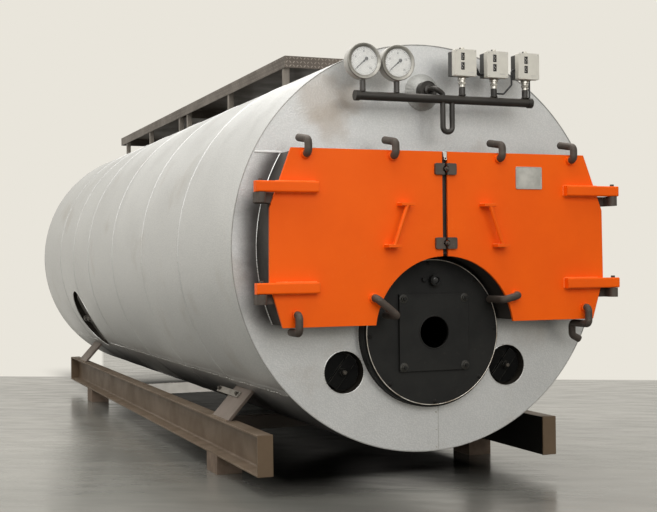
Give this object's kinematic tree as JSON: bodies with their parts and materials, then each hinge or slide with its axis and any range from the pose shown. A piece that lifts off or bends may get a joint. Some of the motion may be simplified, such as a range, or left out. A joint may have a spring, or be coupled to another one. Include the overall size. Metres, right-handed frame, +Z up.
{
  "type": "industrial boiler",
  "caption": "Horizontal fire-tube boiler with a clad round casing, hinged front smoke-box doors, a burner port, gauges, a roof walkway and a channel base.",
  "frame": {"origin": "on the floor, under the middle of the whole boiler", "axes": "+Z up, +Y from the front doors to the flue outlet at the rear, +X to the right seen from the front"},
  "size_m": [1.9999, 6.416, 2.346],
  "materials": {
    "cladding": "stucco embossed sheet",
    "insulation": "mineral wool",
    "boiler_steel": "dark mill scale",
    "smoke_box_steel": "dark heat-stained steel",
    "door_paint": "satin orange paint",
    "lining": "fibre board",
    "dark_steel": "dark bare steel",
    "burner_black": "matt black paint",
    "primer": "brown-grey primer",
    "chequer_plate": "dark chequer plate",
    "stainless": "polished stainless",
    "switch_grey": "light grey cover",
    "lead_black": "black cable sheath"
  },
  "bodies": {
    "boiler": {"cladding_ring_1": "cladding", "cladding_ring_2": "cladding", "cladding_ring_3": "cladding", "cladding_ring_4": "cladding", "cladding_ring_5": "cladding", "cladding_ring_6": "cladding", "cladding_ring_7": "cladding", "insulation_mats": "insulation", "front_insulation": "insulation", "rear_insulation": "insulation", "pressure_shell": "boiler_steel", "smoke_tubes": "boiler_steel", "switch_leads": "lead_black", "saddle_strap": "boiler_steel", "front_tube_plate": "boiler_steel", "rear_tube_plate": "boiler_steel", "furnace_tube": "boiler_steel", "front_cladding": "cladding", "rear_cladding": "cladding", "flue_outlet": "smoke_box_steel", "smoke_box_sides": "smoke_box_steel", "smoke_box_top": "smoke_box_steel", "smoke_box_floors": "smoke_box_steel", "smoke_box_arch": "smoke_box_steel", "smoke_box_mullion": "smoke_box_steel", "latch_studs": "dark_steel", "hinge_lugs": "dark_steel", "hinge_pins": "dark_steel", "burner_collar": "burner_black", "burner_plate": "burner_black", "burner_flange": "burner_black", "sight_port": "dark_steel", "hand_hole_covers": "dark_steel", "manhole": "dark_steel", "gauge_header": "dark_steel", "pressure_gauge_left": "stainless", "pressure_gauge_right": "stainless", "pressure_switch_1": "switch_grey", "pressure_switch_2": "switch_grey", "pressure_switch_3": "switch_grey", "walkway_deck": "chequer_plate", "walkway_posts": "chequer_plate", "base_channel_left": "primer", "base_channel_right": "primer", "base_end_plates": "primer", "base_cross_ties": "primer", "saddle_legs": "primer", "foot_blocks": "primer"},
    "door_left": {"door_left": "door_paint", "door_left_lining": "lining", "door_left_hinge_bars": "door_paint", "door_left_clamps": "dark_steel", "door_left_handle": "door_paint"},
    "door_right": {"door_right": "door_paint", "door_right_lining": "lining", "door_right_hinge_bars": "door_paint", "door_right_clamps": "dark_steel", "door_right_handle": "door_paint"}
  },
  "joints": [
    {"name": "left_door_hinge", "type": "hinge", "parent": "boiler", "child": "door_left", "pos_m": [-0.93, -3.1725, 1.239], "axis": [0, 0, -1], "range_deg": [0, 110]},
    {"name": "right_door_hinge", "type": "hinge", "parent": "boiler", "child": "door_right", "pos_m": [0.93, -3.1725, 1.239], "axis": [0, 0, 1], "range_deg": [0, 110]}
  ]
}
